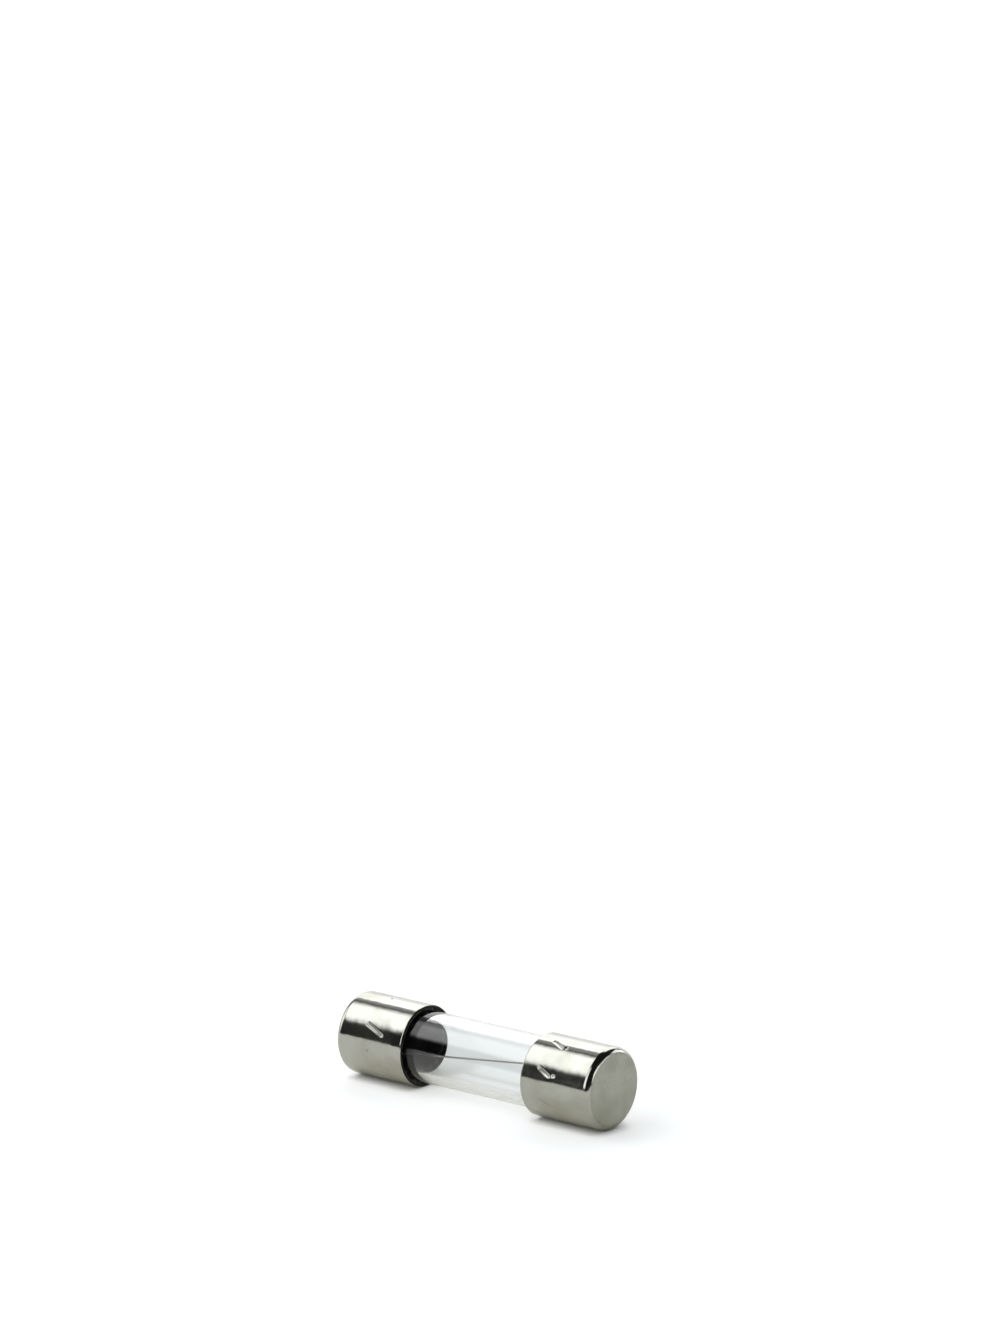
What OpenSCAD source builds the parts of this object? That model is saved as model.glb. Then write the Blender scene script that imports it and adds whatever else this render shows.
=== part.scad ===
// Glass cartridge fuse: a clear tube between two drawn end caps, with the fuse wire
// stretched through the tube and soldered into both caps.
// The origin is the centre of the fuse, +X runs along it and +Z is up.

/* [Fuse] */
// Length over both end caps
fuse_length = 20; // [19.5:0.1:20.5]

/* [End caps] */
// Outside diameter of the end caps
cap_diameter = 5.2; // [5.1:0.05:5.3]
// Length of each cap along the fuse
cap_length = 5.3; // [5:0.1:6]
// Thickness of the sheet that the caps are drawn from
cap_wall = 0.2; // [0.2:0.01:0.25]
// Outer radius between a cap's side and its end
cap_corner = 0.45; // [0.4:0.05:0.8]

/* [Glass tube] */
// Outside diameter of the tube
tube_diameter = 4.5; // [4.3:0.05:4.5]
// Thickness of the glass
tube_wall = 0.55; // [0.4:0.05:0.7]
// Radius of the flame-polished rims
rim_radius = 0.12; // [0.05:0.01:0.15]

/* [Joints] */
// Solder between the end of the tube and the bottom of the cap
solder_bed = 0.4; // [0.3:0.05:0.6]
// How far the solder stands up inside the tube
solder_rise = 0.5; // [0.3:0.05:0.8]
// How far inside a cap's mouth the adhesive film starts
film_recess = 0.25; // [0.1:0.05:2]

/* [Fuse wire] */
// Diameter of the fuse wire
wire_diameter = 0.12; // [0.08:0.01:0.3]
// Distance of each wire end from the axis, where it enters the solder
wire_lean = 1.1; // [0:0.1:1.2]
// Direction of that lean, turned about the fuse's axis from straight up
wire_turn = 35; // [0:5:90]
// How deep each end of the wire sits in the solder
wire_grip = 0.6; // [0.3:0.05:0.7]

/* [Hidden] */
$fn = 96;

cap_radius = cap_diameter / 2;
cap_mouth = fuse_length / 2 - cap_length;
cup_radius = cap_radius - cap_wall;
cup_corner = cap_corner - cap_wall;
cup_floor = fuse_length / 2 - cap_wall;
tube_radius = tube_diameter / 2;
bore_radius = tube_radius - tube_wall;
tube_end = cup_floor - solder_bed;
solder_face = tube_end - solder_rise;
wire_end = solder_face + wire_grip;
wire_tilt = atan(wire_lean / solder_face);

// Turns a shape drawn along +Z so that it lies along +X
module along_fuse() {
    rotate([0, 90, 0])
        children();
}

// Half-section of a round bar with a rounded end, drawn from its open end up
module rounded_bar_section(radius, length, corner) {
    square([radius - corner, length]);
    square([radius, length - corner]);
    translate([radius - corner, length - corner])
        circle(r = corner);
}

module rounded_bar(radius, length, corner) {
    rotate_extrude()
        rounded_bar_section(radius, length, corner);
}

// Drawn cup, its mouth at the inner end and its closed end at the end of the fuse
module end_cap() {
    along_fuse()
        translate([0, 0, cap_mouth])
            difference() {
                rounded_bar(cap_radius, cap_length, cap_corner);
                translate([0, 0, -1])
                    rounded_bar(cup_radius, cap_length - cap_wall + 1, cup_corner);
            }
}

// Bed of solder in the bottom of the right cap, with a plug that stands up inside the tube
module solder_plug() {
    along_fuse() {
        intersection() {
            rounded_bar(cup_radius, cup_floor, cup_corner);
            translate([0, 0, tube_end])
                cylinder(r = cap_radius, h = solder_bed);
        }
        translate([0, 0, solder_face])
            cylinder(r = bore_radius, h = solder_rise + solder_bed / 2);
    }
}

// Thin film of adhesive that holds a cap on the tube, from near the cap's mouth to the tube's rim
module adhesive_film() {
    film_start = cap_mouth + film_recess;
    film_length = tube_end - rim_radius - film_start;
    along_fuse()
        translate([0, 0, film_start])
            difference() {
                cylinder(r = cup_radius, h = film_length);
                translate([0, 0, -1])
                    cylinder(r = tube_radius, h = film_length + 2);
            }
}

// Straight wire that leans across the tube, from low at the left to high at the right
module wire_run() {
    rotate([-wire_turn, 0, 0])
        rotate([0, -wire_tilt, 0])
            along_fuse()
                cylinder(d = wire_diameter, h = 2 * wire_end, center = true);
}

// Half-section of the tube's wall with both rims rounded
module tube_section() {
    straight_half = tube_end - rim_radius;
    translate([bore_radius, -straight_half])
        square([tube_wall, 2 * straight_half]);
    translate([bore_radius + rim_radius, -tube_end])
        square([tube_wall - 2 * rim_radius, 2 * tube_end]);
    for (edge = [bore_radius + rim_radius, tube_radius - rim_radius])
        for (side = [-1, 1])
            translate([edge, side * straight_half])
                circle(r = rim_radius);
}

module glass_tube() {
    color([0.86, 0.91, 0.92, 0.35])
        along_fuse()
            rotate_extrude()
                tube_section();
}

module left_cap() {
    color([0.74, 0.73, 0.70])
        mirror([1, 0, 0])
            end_cap();
}

module right_cap() {
    color([0.74, 0.73, 0.70])
        end_cap();
}

module fuse_wire() {
    color([0.66, 0.66, 0.64])
        wire_run();
}

module left_solder() {
    color([0.58, 0.58, 0.57])
        difference() {
            mirror([1, 0, 0])
                solder_plug();
            wire_run();
        }
}

module right_solder() {
    color([0.58, 0.58, 0.57])
        difference() {
            solder_plug();
            wire_run();
        }
}

module left_adhesive() {
    color([0.12, 0.12, 0.13])
        mirror([1, 0, 0])
            adhesive_film();
}

module right_adhesive() {
    color([0.12, 0.12, 0.13])
        adhesive_film();
}

glass_tube();
left_cap();
right_cap();
fuse_wire();
left_solder();
right_solder();
left_adhesive();
right_adhesive();
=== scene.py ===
from math import atan2, cos, degrees, exp, pi, radians, sin

import bmesh
import bpy
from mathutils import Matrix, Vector


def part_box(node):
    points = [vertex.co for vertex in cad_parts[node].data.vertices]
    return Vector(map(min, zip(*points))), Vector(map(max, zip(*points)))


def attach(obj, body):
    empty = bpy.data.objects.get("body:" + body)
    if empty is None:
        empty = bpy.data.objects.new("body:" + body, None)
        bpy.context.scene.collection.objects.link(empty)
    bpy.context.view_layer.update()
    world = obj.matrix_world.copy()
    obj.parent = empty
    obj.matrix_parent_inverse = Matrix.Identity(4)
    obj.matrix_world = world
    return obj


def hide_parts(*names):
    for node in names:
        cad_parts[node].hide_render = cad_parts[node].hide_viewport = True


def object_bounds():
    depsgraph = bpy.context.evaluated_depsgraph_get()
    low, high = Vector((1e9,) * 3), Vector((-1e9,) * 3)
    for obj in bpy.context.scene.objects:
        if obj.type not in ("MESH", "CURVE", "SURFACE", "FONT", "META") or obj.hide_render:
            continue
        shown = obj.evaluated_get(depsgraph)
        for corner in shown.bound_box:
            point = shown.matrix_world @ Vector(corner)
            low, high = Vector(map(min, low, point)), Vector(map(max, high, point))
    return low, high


mm = 0.001
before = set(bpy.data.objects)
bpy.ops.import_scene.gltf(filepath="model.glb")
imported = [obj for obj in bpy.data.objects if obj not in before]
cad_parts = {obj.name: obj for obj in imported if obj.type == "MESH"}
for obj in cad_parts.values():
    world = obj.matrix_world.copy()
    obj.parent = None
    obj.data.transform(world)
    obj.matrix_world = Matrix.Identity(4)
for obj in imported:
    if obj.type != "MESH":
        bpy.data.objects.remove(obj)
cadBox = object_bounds()
bpy.ops.object.select_all(action="DESELECT")
print("frame loaded:", sorted(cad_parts))

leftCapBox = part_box("left_cap")
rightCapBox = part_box("right_cap")
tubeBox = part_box("glass_tube")
floorHeight = cadBox[0][2]
discCentre = 0.05 * mm              # a face whose centre is this close to the axis is a whole disc


def editMode(piece):
    # opens one piece for editing with nothing selected
    if bpy.context.object and bpy.context.object.mode != "OBJECT":
        bpy.ops.object.mode_set(mode="OBJECT")
    bpy.ops.object.select_all(action="DESELECT")
    piece.select_set(True)
    bpy.context.view_layer.objects.active = piece
    bpy.ops.object.mode_set(mode="EDIT")
    bpy.ops.mesh.select_all(action="DESELECT")


def pickFaces(piece, wanted):
    # selects the faces for which wanted(centre, normal) is true
    bpy.ops.mesh.select_mode(type="FACE")
    bpy.ops.mesh.select_all(action="DESELECT")
    mesh = bmesh.from_edit_mesh(piece.data)
    for face in mesh.faces:
        if wanted(face.calc_center_median(), face.normal):
            face.select_set(True)
    bmesh.update_edit_mesh(piece.data)


def pickEdges(piece, wanted):
    # selects the edges for which wanted(one end, other end) is true
    bpy.ops.mesh.select_mode(type="EDGE")
    bpy.ops.mesh.select_all(action="DESELECT")
    mesh = bmesh.from_edit_mesh(piece.data)
    for edge in mesh.edges:
        if wanted(edge.verts[0].co, edge.verts[1].co):
            edge.select_set(True)
    bmesh.update_edit_mesh(piece.data)


def fromAxis(point):
    return (point.y ** 2 + point.z ** 2) ** 0.5


def near(value, target, reach=0.01 * mm):
    return abs(value - target) < reach


def pickRing(piece, along, radius):
    # the round edge loop at one place along the fuse
    pickEdges(piece, lambda a, b: all(near(p.x, along) and near(fromAxis(p), radius) for p in (a, b)))


def cutAcross(piece, places):
    # new edge loops round the piece at these places along the fuse
    for along in places:
        bpy.ops.mesh.select_all(action="SELECT")
        bpy.ops.mesh.bisect(plane_co=(along, 0, 0), plane_no=(1, 0, 0), threshold=0.001 * mm)


def addRod(name, low, high, radius, sides):
    # a solid cylinder along X, from which every round piece of the fuse starts
    bpy.ops.mesh.primitive_cylinder_add(
        vertices=sides, radius=radius, depth=high - low, end_fill_type="NGON",
        location=((low + high) / 2, 0, 0), rotation=(0, pi / 2, 0))
    rod = bpy.context.object
    rod.name = name
    bpy.ops.object.transform_apply(location=True, rotation=True, scale=True)
    return rod


def finishPiece(piece, node, material, sharpAngle=40):
    # smooth shading, material, and the piece's tie to the CAD model
    if piece.mode != "OBJECT":
        bpy.ops.object.mode_set(mode="OBJECT")
    bpy.ops.object.select_all(action="DESELECT")
    piece.select_set(True)
    bpy.context.view_layer.objects.active = piece
    bpy.ops.object.shade_smooth_by_angle(angle=radians(sharpAngle))
    piece.data.materials.clear()
    piece.data.materials.append(material)
    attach(piece, "root")
    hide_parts(node)
    print(f"{piece.name}: {len(piece.data.polygons)} faces")


def linearColour(hexCode):
    # an sRGB hex value as the linear colour that shaders want
    channels = [int(hexCode[i:i + 2], 16) / 255 for i in (0, 2, 4)]
    return [c / 12.92 if c <= 0.04045 else ((c + 0.055) / 1.055) ** 2.4 for c in channels] + [1]


def addNode(tree, kind, values=None, links=None, **settings):
    made = tree.nodes.new(kind)
    for name, value in settings.items():
        setattr(made, name, value)
    for socket, value in (values or {}).items():
        made.inputs[socket].default_value = value
    for socket, source in (links or {}).items():
        tree.links.new(source, made.inputs[socket])
    return made


def newMaterial(name, shaderValues):
    # a material with one Principled shader, and that shader
    material = bpy.data.materials.new(name)
    material.use_nodes = True
    tree = material.node_tree
    shader = tree.nodes["Principled BSDF"]
    for socket, value in shaderValues.items():
        shader.inputs[socket].default_value = value
    return material, tree, shader


nickelPlate = {
    "colour": "b5b6b0",
    "dullColour": "a7a79d",
    "endShadeColour": "a5a69f",          # painted shade: the flat ends get a darker copy of the plate's colour, so they look darker than the side
    "endShadeDullColour": "999b90",
    "sideRoughness": 0.12,
    "endRoughness": 0.27,
    "endStart": 9.945 * mm,         # the polish runs round the corner, and only the flat end is satin
    "endBlend": 0.02 * mm,
    "mouthShadeColour": "2b2925",          # painted shade: near black on the mouth's rounded edge, for the shade in the gap there
    "cutRoughness": 0.4,
    "cutEnd": 4.725 * mm,
    "cutBlend": 0.02 * mm,
    "drawLineSpacing": 0.09 * mm,   # real ones are nearer 0.02 mm, drawn coarser so that they show
    "drawLineLength": 3 * mm,
    "drawLineDepth": 0.0009 * mm,
    "tarnishPatch": 1.6 * mm,
    "tarnishFrom": 0.42,            # noise level where the duller patches begin, and where they are full
    "tarnishTo": 0.72,
    "waveLength": 1.5 * mm,         # shallow dents from the press
    "waveDepth": 0.026 * mm,
    "grain": 0.12 * mm,
    "grainDepth": 0.003 * mm,
}


def makeNickelPlate():
    # Bright nickel over drawn brass: a warm grey mirror, faintly wavy, with draw lines along the side
    # and a fine satin grain on the flat ends where the punch pressed
    # painted shade: the flat ends have a darker copy of the plate's colour
    # painted shade: the mouth's edge is coloured near black
    spec = nickelPlate
    material, tree, shader = newMaterial("bright nickel plate on drawn brass", {"Metallic": 1})
    place = addNode(tree, "ShaderNodeTexCoord").outputs["Object"]
    split = addNode(tree, "ShaderNodeSeparateXYZ", links={0: place})
    along = addNode(tree, "ShaderNodeMath", links={0: split.outputs["X"]}, operation="ABSOLUTE")
    onEnd = addNode(tree, "ShaderNodeMapRange", {
        1: spec["endStart"], 2: spec["endStart"] + spec["endBlend"]},
        {0: along.outputs[0]}, interpolation_type="SMOOTHSTEP")
    tarnish = addNode(tree, "ShaderNodeTexNoise", {"Scale": 1 / spec["tarnishPatch"], "Detail": 4},
                      {"Vector": place})
    tarnishAmount = addNode(tree, "ShaderNodeMapRange", {1: spec["tarnishFrom"], 2: spec["tarnishTo"]},
                            {0: tarnish.outputs[0]})
    colour = addNode(tree, "ShaderNodeMix", {
        6: linearColour(spec["colour"]), 7: linearColour(spec["dullColour"])},
        {0: tarnishAmount.outputs[0]}, data_type="RGBA")
    # painted shade: the flat ends' darker copy of the plate's colour, with its tarnished patches
    shadedEndColour = addNode(tree, "ShaderNodeMix", {
        6: linearColour(spec["endShadeColour"]), 7: linearColour(spec["endShadeDullColour"])},
        {0: tarnishAmount.outputs[0]}, data_type="RGBA")
    # the flat ends take the painted-shade colour
    endShadeColour = addNode(tree, "ShaderNodeMix", links={
        0: onEnd.outputs[0], 6: colour.outputs[2], 7: shadedEndColour.outputs[2]}, data_type="RGBA")
    # painted shade: near black on the mouth's edge, where the distance along the fuse is under cutEnd
    offCut = addNode(tree, "ShaderNodeMapRange", {
        1: spec["cutEnd"], 2: spec["cutEnd"] + spec["cutBlend"]},
        {0: along.outputs[0]}, interpolation_type="SMOOTHSTEP")
    edgeColour = addNode(tree, "ShaderNodeMix", {6: linearColour(spec["mouthShadeColour"])},
                         {0: offCut.outputs[0], 7: endShadeColour.outputs[2]}, data_type="RGBA")
    tree.links.new(edgeColour.outputs[2], shader.inputs["Base Color"])
    # patches that are a fifth smoother or a quarter rougher than the rest
    smear = addNode(tree, "ShaderNodeMapRange", {1: 0.3, 2: 0.7, 3: 0.8, 4: 1.25},
                    {0: tarnish.outputs[0]})
    roughness = addNode(tree, "ShaderNodeMapRange", {3: spec["sideRoughness"], 4: spec["endRoughness"]},
                        {0: onEnd.outputs[0]})
    smeared = addNode(tree, "ShaderNodeMath", links={0: roughness.outputs[0], 1: smear.outputs[0]},
                      operation="MULTIPLY")
    edgeRoughness = addNode(tree, "ShaderNodeMix", {2: spec["cutRoughness"]},
                            {0: offCut.outputs[0], 3: smeared.outputs[0]})
    tree.links.new(edgeRoughness.outputs[0], shader.inputs["Roughness"])
    stretch = addNode(tree, "ShaderNodeMapping", {
        "Scale": (spec["drawLineSpacing"] / spec["drawLineLength"], 1, 1)}, {"Vector": place})
    drawLines = addNode(tree, "ShaderNodeTexNoise", {"Scale": 1 / spec["drawLineSpacing"], "Detail": 2},
                        {"Vector": stretch.outputs[0]})
    wave = addNode(tree, "ShaderNodeTexNoise", {"Scale": 1 / spec["waveLength"], "Detail": 2},
                   {"Vector": place})
    grain = addNode(tree, "ShaderNodeTexNoise", {"Scale": 1 / spec["grain"], "Detail": 2},
                    {"Vector": place})
    grainOnEnd = addNode(tree, "ShaderNodeMath", links={0: grain.outputs[0], 1: onEnd.outputs[0]},
                         operation="MULTIPLY")
    waves = addNode(tree, "ShaderNodeBump", {"Distance": spec["waveDepth"]}, {"Height": wave.outputs[0]})
    lines = addNode(tree, "ShaderNodeBump", {"Distance": spec["drawLineDepth"]},
                    {"Height": drawLines.outputs[0], "Normal": waves.outputs[0]})
    satin = addNode(tree, "ShaderNodeBump", {"Distance": spec["grainDepth"]},
                    {"Height": grainOnEnd.outputs[0], "Normal": lines.outputs[0]})
    tree.links.new(satin.outputs[0], shader.inputs["Normal"])
    return material


clearGlass = {
    "colour": "f3f5f6",
    "roughness": 0.0,
    "refraction": 1.5,
    "drawLineSpacing": 0.35 * mm,
    "drawLineLength": 12 * mm,
    "drawLineDepth": 0.0006 * mm,
}


def makeClearGlass():
    # Soda-lime tube glass: clear with a faint cool tint, and faint lines along it from drawing
    spec = clearGlass
    material, tree, shader = newMaterial("clear drawn soda-lime glass", {
        "Base Color": linearColour(spec["colour"]), "Roughness": spec["roughness"],
        "IOR": spec["refraction"], "Transmission Weight": 1})
    place = addNode(tree, "ShaderNodeTexCoord").outputs["Object"]
    stretch = addNode(tree, "ShaderNodeMapping", {
        "Scale": (spec["drawLineSpacing"] / spec["drawLineLength"], 1, 1)}, {"Vector": place})
    drawLines = addNode(tree, "ShaderNodeTexNoise", {"Scale": 1 / spec["drawLineSpacing"], "Detail": 1},
                        {"Vector": stretch.outputs[0]})
    bump = addNode(tree, "ShaderNodeBump", {"Distance": spec["drawLineDepth"]},
                   {"Height": drawLines.outputs[0]})
    tree.links.new(bump.outputs[0], shader.inputs["Normal"])
    return material


tinnedWire = {
    "colour": "a3a29d",
    "roughness": 0.28,
    "grain": 0.08 * mm,
    "grainDepth": 0.002 * mm,
}


def makeTinnedWire():
    # Copper wire with a thin coat of tin: silvery, a little uneven
    spec = tinnedWire
    material, tree, shader = newMaterial("tinned copper wire", {
        "Base Color": linearColour(spec["colour"]), "Metallic": 1, "Roughness": spec["roughness"]})
    place = addNode(tree, "ShaderNodeTexCoord").outputs["Object"]
    grain = addNode(tree, "ShaderNodeTexNoise", {"Scale": 1 / spec["grain"], "Detail": 3},
                    {"Vector": place})
    bump = addNode(tree, "ShaderNodeBump", {"Distance": spec["grainDepth"]},
                   {"Height": grain.outputs[0]})
    tree.links.new(bump.outputs[0], shader.inputs["Normal"])
    return material


tinSolder = {
    "colour": "8f8e89",
    "roughness": 0.36,
    "grain": 0.2 * mm,
    "grainDepth": 0.01 * mm,
}


def makeTinSolder():
    # Tin solder as it set: satin grey with soft crystal dimples
    spec = tinSolder
    material, tree, shader = newMaterial("set tin solder", {
        "Base Color": linearColour(spec["colour"]), "Metallic": 1, "Roughness": spec["roughness"]})
    place = addNode(tree, "ShaderNodeTexCoord").outputs["Object"]
    grain = addNode(tree, "ShaderNodeTexNoise", {"Scale": 1 / spec["grain"], "Detail": 4},
                    {"Vector": place})
    bump = addNode(tree, "ShaderNodeBump", {"Distance": spec["grainDepth"]},
                   {"Height": grain.outputs[0]})
    tree.links.new(bump.outputs[0], shader.inputs["Normal"])
    return material


gapShadeEpoxy = {
    # near black: painted shade of the gap at each cap's mouth
    "colour": "161617",
    "roughness": 0.5,
    "grain": 0.15 * mm,
    "grainDepth": 0.01 * mm,
}


def makeGapShadeEpoxy():
    # Cured epoxy in the gap at each cap's mouth, near black as painted shade of that gap; half gloss,
    # with small sags
    spec = gapShadeEpoxy
    material, tree, shader = newMaterial("cured epoxy with painted gap shade", {
        "Base Color": linearColour(spec["colour"]), "Roughness": spec["roughness"]})
    place = addNode(tree, "ShaderNodeTexCoord").outputs["Object"]
    grain = addNode(tree, "ShaderNodeTexNoise", {"Scale": 1 / spec["grain"], "Detail": 2},
                    {"Vector": place})
    bump = addNode(tree, "ShaderNodeBump", {"Distance": spec["grainDepth"]},
                   {"Height": grain.outputs[0]})
    tree.links.new(bump.outputs[0], shader.inputs["Normal"])
    return material


nickel = makeNickelPlate()
glass = makeClearGlass()
wireMetal = makeTinnedWire()
solderMetal = makeTinSolder()
epoxy = makeGapShadeEpoxy()
print("materials made")


cap = {
    "sides": 400,
    "wall": 0.2 * mm,
    "corner": 0.45 * mm,
    "outerLip": 0.11 * mm,          # rounding of the mouth's outer edge
    "innerLip": 0.06 * mm,
    "shadingStrip": 0.02 * mm,      # narrow strip beside each rounding, to keep its shading off the flat
    "cornerSteps": 14,
    "innerCornerSteps": 6,
    "outerLipSteps": 6,
    "innerLipSteps": 4,
    "discRing": 0.4,                # width of each of a disc's two rings, as a share of its radius
    "stampRows": 44,
    "stampDepth": 0.05 * mm,
    "strokeCore": 0.01 * mm,        # flat bottom of a stamped stroke, half its width
    "strokeEdge": 0.15 * mm,        # where its slope meets the cap again
}

# each cap's ring of slashes, and the dot beside each slash;
# slashTurn is how many degrees round the cap a slash's two ends are apart
stampRings = {
    "left_cap": {
        "centre": -7.0 * mm, "firstTurn": 63, "slashes": 4, "slashLength": 1.25 * mm, "slashTurn": 12,
        "dotShift": -0.4 * mm, "dotTurn": 30,
    },
    "right_cap": {
        "centre": 6.45 * mm, "firstTurn": 22, "slashes": 8, "slashLength": 0.8 * mm, "slashTurn": 9,
        "dotShift": 0.75 * mm, "dotTurn": 3,
    },
}


def turnOf(point):
    # degrees round the fuse from straight up towards the front
    return degrees(atan2(-point.y, point.z))


def strokeDistance(along, around, stroke):
    # distance in the cap's unrolled surface from a point to a straight stroke
    (x0, s0), (x1, s1) = stroke
    lengthSquared = (x1 - x0) ** 2 + (s1 - s0) ** 2
    share = 0
    if lengthSquared > 0:
        share = ((along - x0) * (x1 - x0) + (around - s0) * (s1 - s0)) / lengthSquared
        share = min(1, max(0, share))
    return ((along - x0 - share * (x1 - x0)) ** 2 + (around - s0 - share * (s1 - s0)) ** 2) ** 0.5


def stampStrokes(ring, radius):
    # slashes and dots, each as the two ends of a stroke
    perDegree = radius * pi / 180
    strokes = []
    for i in range(ring["slashes"]):
        turn = ring["firstTurn"] + i * 360 / ring["slashes"]
        half = ring["slashTurn"] / 2
        strokes.append(((ring["centre"] - ring["slashLength"] / 2, (turn - half) * perDegree),
                        (ring["centre"] + ring["slashLength"] / 2, (turn + half) * perDegree)))
        dot = (ring["centre"] + ring["dotShift"], (turn + ring["dotTurn"]) * perDegree)
        strokes.append((dot, dot))
    return strokes


def stampReach(ring):
    # how far the marks spread from the ring's centre along the fuse
    return max(ring["slashLength"] / 2, abs(ring["dotShift"])) + cap["strokeEdge"]


def stampMarks(piece, ring, radius):
    # presses the strokes in with a Displace modifier that a vertex group steers
    strokes = stampStrokes(ring, radius)
    roundCap = 2 * pi * radius
    group = piece.vertex_groups.new(name="stamped")
    reach = stampReach(ring)
    for point in piece.data.vertices:
        if fromAxis(point.co) < radius - 0.001 * mm or abs(point.co.x - ring["centre"]) > reach:
            continue
        around = radians(turnOf(point.co)) * radius
        distance = min(
            strokeDistance(point.co.x, around + lap, stroke)
            for stroke in strokes for lap in (-roundCap, 0, roundCap))
        share = (cap["strokeEdge"] - distance) / (cap["strokeEdge"] - cap["strokeCore"])
        share = min(1, max(0, share))
        if share > 0:
            group.add([point.index], share * share * (3 - 2 * share), "REPLACE")
    press = piece.modifiers.new("press", "DISPLACE")
    press.direction = "NORMAL"
    press.vertex_group = "stamped"
    press.mid_level = 0
    press.strength = -cap["stampDepth"]
    bpy.ops.object.modifier_apply(modifier="press")
    piece.vertex_groups.clear()


def makeCap(name, node, box, side):
    # side is 1 for the right cap and -1 for the left one
    low, high = box
    radius = high.z
    length = high.x - low.x
    mouth, end = (low.x, high.x) if side > 0 else (high.x, low.x)
    piece = addRod(name, low.x, high.x, radius, cap["sides"])
    editMode(piece)
    pickFaces(piece, lambda c, n: n.x * side < -0.9)
    bpy.ops.mesh.inset(thickness=cap["wall"])
    bpy.ops.mesh.extrude_region_move(
        TRANSFORM_OT_translate={"value": (side * (length - cap["wall"]), 0, 0)})
    pickRing(piece, end, radius)
    bpy.ops.mesh.bevel(offset=cap["corner"], segments=cap["cornerSteps"], affect="EDGES")
    pickRing(piece, end - side * cap["wall"], radius - cap["wall"])
    bpy.ops.mesh.bevel(offset=cap["corner"] - cap["wall"], segments=cap["innerCornerSteps"],
                       affect="EDGES")
    pickRing(piece, mouth, radius)
    bpy.ops.mesh.bevel(offset=cap["outerLip"], segments=cap["outerLipSteps"], affect="EDGES")
    pickRing(piece, mouth, radius - cap["wall"])
    bpy.ops.mesh.bevel(offset=cap["innerLip"], segments=cap["innerLipSteps"], affect="EDGES")
    # close both flat discs with rings and a centre point
    disc = radius - cap["corner"]
    for outward in (side, -side):
        pickFaces(piece, lambda c, n: n.x * outward > 0.9 and fromAxis(c) < discCentre)
        for thickness in (cap["shadingStrip"], disc * cap["discRing"], disc * cap["discRing"]):
            bpy.ops.mesh.inset(thickness=thickness)
        bpy.ops.mesh.merge(type="COLLAPSE")
    # a cut beside each rounding, and two round the rows where the marks go
    ring = stampRings[node]
    reach = stampReach(ring) + cap["shadingStrip"]
    cuts = (mouth + side * (cap["outerLip"] + cap["shadingStrip"]),
            end - side * (cap["corner"] + cap["shadingStrip"]),
            ring["centre"] - reach, ring["centre"] + reach)
    cutAcross(piece, cuts)
    pickEdges(piece, lambda a, b: (
        near(abs(a.x - ring["centre"]), reach) and near(abs(b.x - ring["centre"]), reach)
        and not near(a.x, b.x) and near(fromAxis(a), radius) and near(fromAxis(b), radius)))
    bpy.ops.mesh.subdivide(number_cuts=cap["stampRows"])
    bpy.ops.object.mode_set(mode="OBJECT")
    stampMarks(piece, ring, radius)
    finishPiece(piece, node, nickel)


makeCap("left_cap_drawn", "left_cap", leftCapBox, -1)
makeCap("right_cap_drawn", "right_cap", rightCapBox, 1)


tube = {
    "sides": 256,
    "wall": 0.55 * mm,
    "rimRounding": 0.12 * mm,
    "rimSteps": 5,
    "shadingStrip": 0.02 * mm,
}


def makeTube():
    low, high = tubeBox
    radius = high.z
    bore = radius - tube["wall"]
    piece = addRod("tube_drawn", low.x, high.x, radius, tube["sides"])
    editMode(piece)
    pickFaces(piece, lambda c, n: abs(n.x) > 0.9)
    bpy.ops.mesh.inset(thickness=tube["wall"], use_individual=True)
    pickFaces(piece, lambda c, n: abs(n.x) > 0.9 and fromAxis(c) < discCentre)
    bpy.ops.mesh.bridge_edge_loops()
    for end in (low.x, high.x):
        for rim in (radius, bore):
            pickRing(piece, end, rim)
            bpy.ops.mesh.bevel(offset=tube["rimRounding"], segments=tube["rimSteps"], affect="EDGES")
    straightHalf = high.x - tube["rimRounding"] - tube["shadingStrip"]
    cutAcross(piece, (-straightHalf, straightHalf))
    finishPiece(piece, "glass_tube", glass)
    piece.visible_shadow = False    # clear glass hardly darkens the floor


makeTube()


wire = {
    "sides": 24,
    "radius": 0.06 * mm,
    "halfLength": 9.3 * mm,
    "lean": 1.15 * mm,              # how far each end lies from the fuse's axis
    "turn": 35,                     # the lean's direction, in degrees from straight up towards the back
    "bow": 0.05 * mm,
    "rings": 48,
}


def leanDirection():
    # the way the wire's right end leans from the axis
    return Vector((0, sin(radians(wire["turn"])), cos(radians(wire["turn"]))))


def makeWire():
    half = wire["halfLength"]
    piece = addRod("wire_tinned", -half, half, wire["radius"], wire["sides"])
    editMode(piece)
    pickEdges(piece, lambda a, b: abs(a.x - b.x) > half)
    bpy.ops.mesh.subdivide(number_cuts=wire["rings"])
    bpy.ops.object.mode_set(mode="OBJECT")
    lean = leanDirection()
    for point in piece.data.vertices:
        share = point.co.x / half
        point.co += lean * (wire["lean"] * share - wire["bow"] * (1 - share ** 2))
    finishPiece(piece, "fuse_wire", wireMetal)


makeWire()


solder = {
    "sides": 96,
    "cornerSteps": 5,
    "bed": 0.4 * mm,                # depth of solder between the tube's end and the cap's bottom
    "rise": 0.5 * mm,               # how far it stands up inside the tube
    "clearance": 0.004 * mm,        # keeps its skin off the cap's and the tube's
    "rings": 7,                     # rings of faces from its edge to its middle
    "sink": 0.16 * mm,              # the hollow of its surface below the edge
    "sinkFalloff": 0.55,            # each ring sinks by this share of the last
    "peak": 0.3 * mm,               # the little cone where it climbs the wire
    "peakSpread": 0.22 * mm,
}


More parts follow.
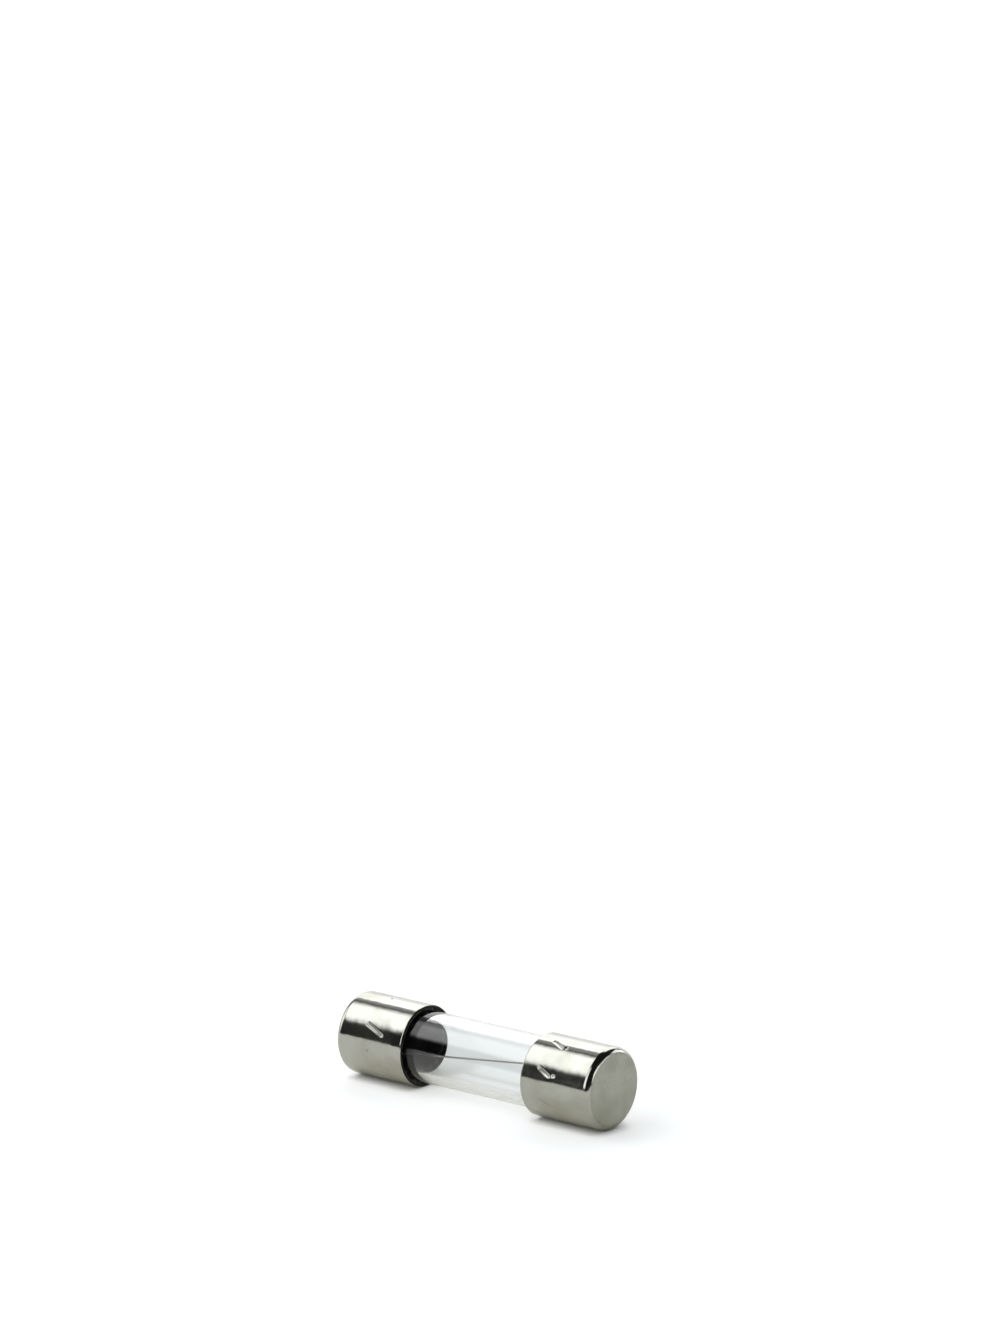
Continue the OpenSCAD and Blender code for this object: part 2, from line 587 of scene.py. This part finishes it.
def makeSolder(name, node, side):
    box = leftCapBox if side < 0 else rightCapBox
    end = box[1].x if side > 0 else box[0].x
    radius = box[1].z - cap["wall"] - solder["clearance"]
    bore = tubeBox[1].z - tube["wall"] - solder["clearance"]
    back = end - side * (cap["wall"] + solder["clearance"])
    front = back - side * (solder["bed"] - 2 * solder["clearance"])
    piece = addRod(name, min(back, front), max(back, front), radius, solder["sides"])
    editMode(piece)
    pickRing(piece, back, radius)
    bpy.ops.mesh.bevel(offset=cap["corner"] - cap["wall"], segments=solder["cornerSteps"],
                       affect="EDGES")
    pickFaces(piece, lambda c, n: n.x * side < -0.9)
    bpy.ops.mesh.inset(thickness=radius - bore)
    bpy.ops.mesh.extrude_region_move(
        TRANSFORM_OT_translate={"value": (-side * solder["rise"], 0, 0)})
    for i in range(solder["rings"]):
        # each ring sinks less than the last, which makes a hollow meniscus
        bpy.ops.mesh.inset(thickness=bore / (solder["rings"] + 0.5),
                           depth=-solder["sink"] * solder["sinkFalloff"] ** (i + 1))
    bpy.ops.mesh.merge(type="COLLAPSE")
    bpy.ops.object.mode_set(mode="OBJECT")
    wireFoot = leanDirection() * wire["lean"] * side
    for point in piece.data.vertices:
        if point.co.x * side > front * side - 0.01 * mm or fromAxis(point.co) > bore * 0.98:
            continue
        away = (Vector((0, point.co.y, point.co.z)) - wireFoot).length
        point.co.x -= side * solder["peak"] * exp(-away / solder["peakSpread"])
    finishPiece(piece, node, solderMetal)


makeSolder("left_solder_plug", "left_solder", -1)
makeSolder("right_solder_plug", "right_solder", 1)


adhesive = {
    "sides": 160,
    "recess": 0.25 * mm,            # from the cap's mouth in to the film's edge
    "clearance": 0.006 * mm,
    "waves": (5, 11, 23),           # how many times each ripple of its edge goes round
    "waveHeights": (0.07 * mm, 0.05 * mm, 0.04 * mm),
}


def makeAdhesive(name, node, side):
    tubeRadius = tubeBox[1].z
    outer = leftCapBox[1].z - cap["wall"] - adhesive["clearance"]
    inner = tubeRadius + adhesive["clearance"]
    deep = (tubeBox[1].x if side > 0 else tubeBox[0].x) - side * tube["rimRounding"]
    capMouth = rightCapBox[0].x if side > 0 else leftCapBox[1].x
    mouth = capMouth + side * adhesive["recess"]
    piece = addRod(name, min(deep, mouth), max(deep, mouth), outer, adhesive["sides"])
    editMode(piece)
    pickFaces(piece, lambda c, n: abs(n.x) > 0.9)
    bpy.ops.mesh.inset(thickness=outer - inner, use_individual=True)
    pickFaces(piece, lambda c, n: abs(n.x) > 0.9 and fromAxis(c) < discCentre)
    bpy.ops.mesh.bridge_edge_loops()
    bpy.ops.object.mode_set(mode="OBJECT")
    for point in piece.data.vertices:
        if near(point.co.x, mouth):
            turn = radians(turnOf(point.co))
            for count, height in zip(adhesive["waves"], adhesive["waveHeights"]):
                point.co.x += side * height * cos(count * turn + count)
    finishPiece(piece, node, epoxy)


makeAdhesive("left_adhesive_film", "left_adhesive", -1)
makeAdhesive("right_adhesive_film", "right_adhesive", 1)
print("pieces made")


studio = {
    "floorSize": 6,
    "floorColour": "e6e6e6",
    "tableLight": 0.22,             # the translucent table is lit from below as well
    "tableTint": "fff6c8",
    "cameraGlow": 0.33,             # extra light that only the camera sees, for a clean white sweep
    "farGlow": 0.8,                 # the same light beyond the cards, which do not reach the floor there
    "farStart": 0.25,
    "farEnd": 0.45,
    "glowThroughGlass": 0.5,        # share of that light seen through the tube
    "glowTint": "e4ecff",
    "contactReach": 0.7 * mm,       # the table's own light is cut off this close under the caps
    "roomLight": 0.015,
    "wash": 0.8,                    # overhead daylight on the floor
    "washTint": "dfeaff",
    "washAngle": 100,
}

# each card is a soft box: its centre, size and brightness, and how far its light fades in from its edges
cards = {
    "back card": {
        "centre": (-0.45, 0.45, 0.49), "size": (1.0, 0.82), "brightness": 2.1, "fade": (0.1, 0.18)},
    "sweep card": {
        "centre": (-0.35, 0.46, 0.05), "size": (1.2, 0.3), "brightness": 1.05, "fade": (0.1, 0.08)},
    "left card": {
        "centre": (-0.5, -0.28, 0.74), "size": (0.94, 0.72), "brightness": 2.2, "fade": (0.2, 0.14)},
    "low left card": {
        "centre": (-0.5, -0.15, 0.22), "size": (0.5, 0.44), "brightness": 1.8, "fade": (0.06, 0.06)},
    "seam card": {
        "centre": (-0.5, 0.22, 0.62), "size": (0.5, 0.3), "brightness": 0.4, "fade": (0.05, 0.05)},
    "front card": {
        "centre": (-0.16, -0.5, 0.48), "size": (0.34, 0.9), "brightness": 2.0, "fade": (0.04, 0.08)},
    "right card": {
        "centre": (0.5, 0.22, 0.13), "size": (0.56, 0.2), "brightness": 1.9, "fade": (0.03, 0.02)},
    "spot card": {
        "centre": (0.24, 0.45, 0.17), "size": (0.28, 0.26), "brightness": 1.9, "fade": (0.03, 0.03)},
}
floorReach = 0.2                    # cards further right than this throw no light on the floor


def makeFloor():
    bpy.ops.mesh.primitive_plane_add(size=studio["floorSize"], location=(0, 0, floorHeight))
    floor = bpy.context.object
    floor.name = "floor"
    material, tree, shader = newMaterial("matt white sweep", {
        "Base Color": linearColour(studio["floorColour"]), "Roughness": 0.9, "Specular IOR Level": 0})
    shader.inputs["Emission Color"].default_value = linearColour(studio["tableTint"])
    openness = addNode(tree, "ShaderNodeAmbientOcclusion", {"Distance": studio["contactReach"]},
                       samples=8)
    tableLight = addNode(tree, "ShaderNodeMath", {1: studio["tableLight"]}, {0: openness.outputs["AO"]},
                         operation="MULTIPLY")
    tree.links.new(tableLight.outputs[0], shader.inputs["Emission Strength"])
    path = addNode(tree, "ShaderNodeLightPath")
    seen = addNode(tree, "ShaderNodeMath", {1: studio["glowThroughGlass"]},
                   {0: path.outputs["Is Transmission Ray"], 2: path.outputs["Is Camera Ray"]},
                   operation="MULTIPLY_ADD")
    place = addNode(tree, "ShaderNodeTexCoord").outputs["Object"]
    away = addNode(tree, "ShaderNodeVectorMath", links={0: place}, operation="LENGTH")
    strength = addNode(tree, "ShaderNodeMapRange", {
        1: studio["farStart"], 2: studio["farEnd"], 3: studio["cameraGlow"], 4: studio["farGlow"]},
        {0: away.outputs["Value"]})
    glow = addNode(tree, "ShaderNodeMath", links={0: seen.outputs[0], 1: strength.outputs[0]},
                   operation="MULTIPLY")
    openGlow = addNode(tree, "ShaderNodeMath", links={0: glow.outputs[0], 1: openness.outputs["AO"]},
                       operation="MULTIPLY")
    cameraGlow = addNode(tree, "ShaderNodeEmission", {"Color": linearColour(studio["glowTint"])},
                         {"Strength": openGlow.outputs[0]})
    both = addNode(tree, "ShaderNodeAddShader", links={0: shader.outputs[0], 1: cameraGlow.outputs[0]})
    tree.links.new(both.outputs[0], tree.nodes["Material Output"].inputs["Surface"])
    floor.data.materials.append(material)


def fadeEdges(light, card):
    # lets the light of a card fade towards its four edges
    light.data.use_nodes = True
    tree = light.data.node_tree
    across = addNode(tree, "ShaderNodeNewGeometry").outputs["Parametric"]
    axes = addNode(tree, "ShaderNodeSeparateXYZ", links={0: across})
    shares = []
    for axis, length, fadeLength in zip(("X", "Y"), card["size"], card["fade"]):
        offCentre = addNode(tree, "ShaderNodeMath", {1: 0.5}, {0: axes.outputs[axis]},
                            operation="SUBTRACT")
        fromCentre = addNode(tree, "ShaderNodeMath", links={0: offCentre.outputs[0]},
                             operation="ABSOLUTE")
        fade = fadeLength / length
        shares.append(addNode(tree, "ShaderNodeMapRange", {1: 0.5 - fade, 2: 0.5, 3: 1, 4: 0},
                              {0: fromCentre.outputs[0]}, interpolation_type="SMOOTHSTEP").outputs[0])
    both = addNode(tree, "ShaderNodeMath", links={0: shares[0], 1: shares[1]}, operation="MULTIPLY")
    tree.links.new(both.outputs[0], tree.nodes["Emission"].inputs["Strength"])


def makeCards():
    for name, card in cards.items():
        centre = Vector(card["centre"])
        width, height = card["size"]
        facing = Vector((centre.x, 0, 0)) if abs(centre.x) > abs(centre.y) else Vector((0, centre.y, 0))
        bpy.ops.object.light_add(type="AREA", location=centre,
                                 rotation=facing.to_track_quat("Z", "Y").to_euler())
        light = bpy.context.object
        light.name = name
        light.data.shape = "RECTANGLE"
        light.data.size = width
        light.data.size_y = height
        light.data.energy = card["brightness"] * pi * width * height
        light.visible_camera = False
        light.visible_diffuse = centre.x < floorReach
        fadeEdges(light, card)


def makeWash():
    # one broad overhead light for the floor; it has no mirror image in the caps
    bpy.ops.object.light_add(type="SUN", location=(0, 0, 1))
    wash = bpy.context.object
    wash.name = "overhead wash"
    wash.data.energy = studio["wash"]
    wash.data.color = linearColour(studio["washTint"])[:3]
    wash.data.angle = radians(studio["washAngle"])
    wash.visible_glossy = False
    wash.visible_transmission = False


def makeRoom():
    world = bpy.data.worlds.new("room")
    bpy.context.scene.world = world
    world.use_nodes = True
    tree = world.node_tree
    seen = addNode(tree, "ShaderNodeLightPath").outputs["Is Camera Ray"]
    light = addNode(tree, "ShaderNodeMapRange", {3: studio["roomLight"], 4: 1.0}, {0: seen})
    tree.links.new(light.outputs[0], tree.nodes["Background"].inputs["Strength"])
    tree.nodes["Background"].inputs["Color"].default_value = (1, 1, 1, 1)


camera = {
    "place": (229.4 * mm, -284.65 * mm, 110.77 * mm),
    "turn": 38.73,
    "tilt": 13.22,
    "lens": 167.1,
}


def makeCamera():
    bpy.ops.object.camera_add(location=camera["place"],
                              rotation=(radians(90 - camera["tilt"]), 0, radians(camera["turn"])))
    made = bpy.context.object
    made.name = "camera"
    made.data.lens = camera["lens"]
    made.data.sensor_width = 36
    made.data.clip_start = 0.01
    made.data.clip_end = 20
    bpy.context.scene.camera = made


makeFloor()
makeCards()
makeWash()
makeRoom()
makeCamera()
bpy.context.scene.view_settings.view_transform = "Standard"
print("studio made")
